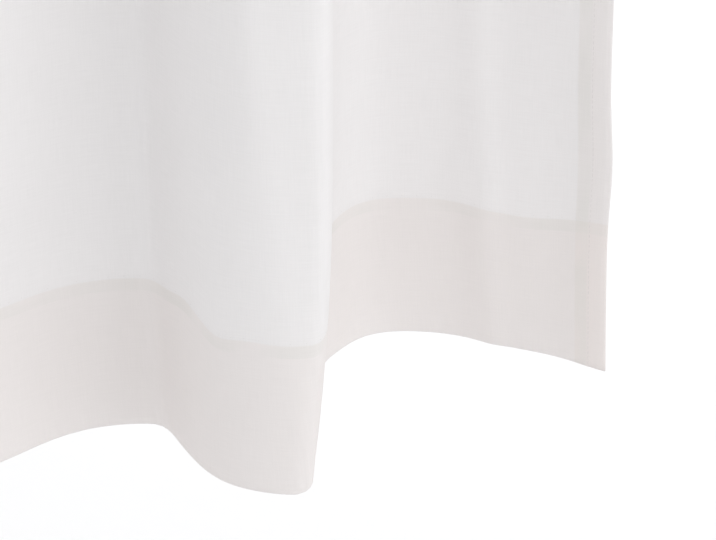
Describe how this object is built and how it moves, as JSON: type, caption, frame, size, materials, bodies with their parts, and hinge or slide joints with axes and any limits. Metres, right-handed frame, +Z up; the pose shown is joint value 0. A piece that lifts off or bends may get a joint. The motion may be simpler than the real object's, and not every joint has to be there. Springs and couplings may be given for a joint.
{
  "type": "linen curtain panel",
  "caption": "Plain semi-sheer linen curtain panel hanging in loose uneven folds, with turned side hems, a deep bottom hem and a turned top hem.",
  "frame": {"origin": "middle of the panel's top edge, where the rail or rod that isn't part of it would carry it", "axes": "+X along the width to the right seen from the room, -Y towards the room, +Z up; the panel hangs from z = 0 down to its foot"},
  "size_m": [0.8408, 0.2042, 2.402],
  "materials": {
    "linen": "loosely woven off-white linen, matt and slightly see-through, warmer and denser where the hems lie double"
  },
  "bodies": {
    "root": {"curtain_panel": "linen"}
  },
  "joints": []
}
